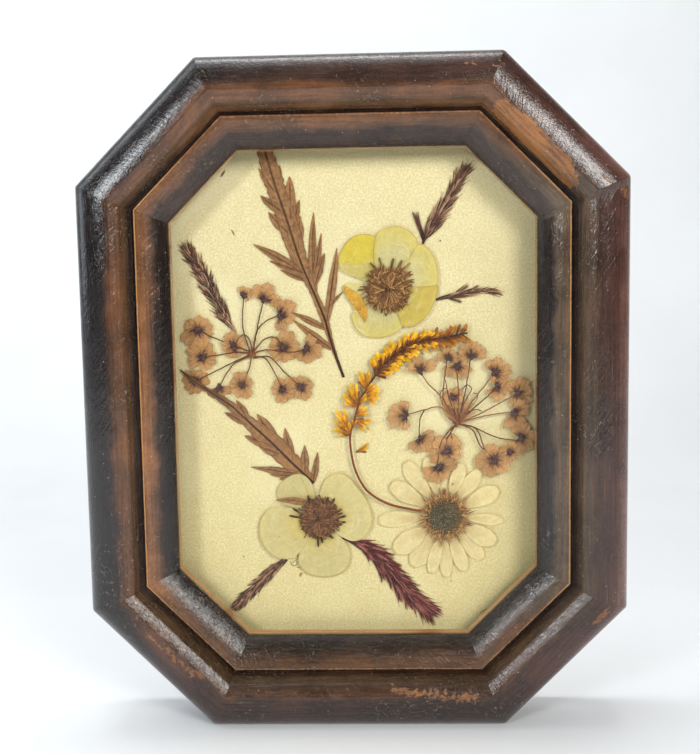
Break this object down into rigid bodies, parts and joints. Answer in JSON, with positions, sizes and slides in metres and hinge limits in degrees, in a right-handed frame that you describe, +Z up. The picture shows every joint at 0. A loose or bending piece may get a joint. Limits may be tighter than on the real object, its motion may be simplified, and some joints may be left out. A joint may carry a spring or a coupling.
{
  "type": "pressed flower frame",
  "caption": "Octagonal moulded wooden frame that stands on its bottom edge, with dried flowers, grasses and leaves pressed on a cream card behind glass.",
  "frame": {"origin": "under the middle of the frame's bottom edge, half way through its depth", "axes": "+X to the right seen from the front, +Z up, the glass faces -Y"},
  "size_m": [0.1376, 0.022, 0.17],
  "materials": {
    "stained_wood": "dark brown stain under a worn gloss varnish",
    "glass": "clear, thin, slightly dusty",
    "card": "cream covering, matt",
    "board": "plain brown, matt",
    "steel": "bare, dulled",
    "dry_leaf": "dried brown leaf, matt",
    "dry_grass": "dried purple-brown grass, matt",
    "purple_grass": "dried purple-red grass, matt",
    "tan_floret": "dried tan florets, matt",
    "yellow_floret": "dried amber florets, matt",
    "yellow_petal": "dried pale yellow petal, thin",
    "pale_petal": "dried pale cream petal, thin",
    "cream_petal": "dried cream petal, thin",
    "stamens": "dried brown stamens, matt",
    "disc": "grey-brown dried flower disc, matt"
  },
  "bodies": {
    "root": {"frame": "stained_wood", "glass": "glass", "card": "card", "backing_board": "board", "point_1": "steel", "point_2": "steel", "point_3": "steel", "point_4": "steel", "point_5": "steel", "point_6": "steel", "point_7": "steel", "point_8": "steel", "mugwort_leaf_upper": "dry_leaf", "mugwort_leaf_lower": "dry_leaf", "leaf_lobe": "dry_leaf", "grass_spike_1": "dry_grass", "grass_spike_2": "dry_grass", "grass_spike_3": "dry_grass", "grass_spike_4": "dry_grass", "grass_spike_5": "purple_grass", "umbel_left": "tan_floret", "umbel_right": "tan_floret", "goldenrod": "yellow_floret", "goldenrod_floret": "yellow_floret", "buttercup_petal_1": "yellow_petal", "buttercup_petal_2": "yellow_petal", "buttercup_petal_3": "yellow_petal", "buttercup_petal_4": "yellow_petal", "buttercup_petal_5": "yellow_petal", "buttercup_stamens": "stamens", "pale_petal_1": "pale_petal", "pale_petal_2": "pale_petal", "pale_petal_3": "pale_petal", "pale_petal_4": "pale_petal", "pale_stamens": "stamens", "daisy_petal_01": "cream_petal", "daisy_petal_02": "cream_petal", "daisy_petal_03": "cream_petal", "daisy_petal_04": "cream_petal", "daisy_petal_05": "cream_petal", "daisy_petal_06": "cream_petal", "daisy_petal_07": "cream_petal", "daisy_petal_08": "cream_petal", "daisy_petal_09": "cream_petal", "daisy_petal_10": "cream_petal", "daisy_petal_11": "cream_petal", "daisy_petal_12": "cream_petal", "daisy_petal_13": "cream_petal", "daisy_petal_14": "cream_petal", "daisy_petal_15": "cream_petal", "daisy_petal_16": "cream_petal", "daisy_disc": "disc"}
  },
  "joints": []
}
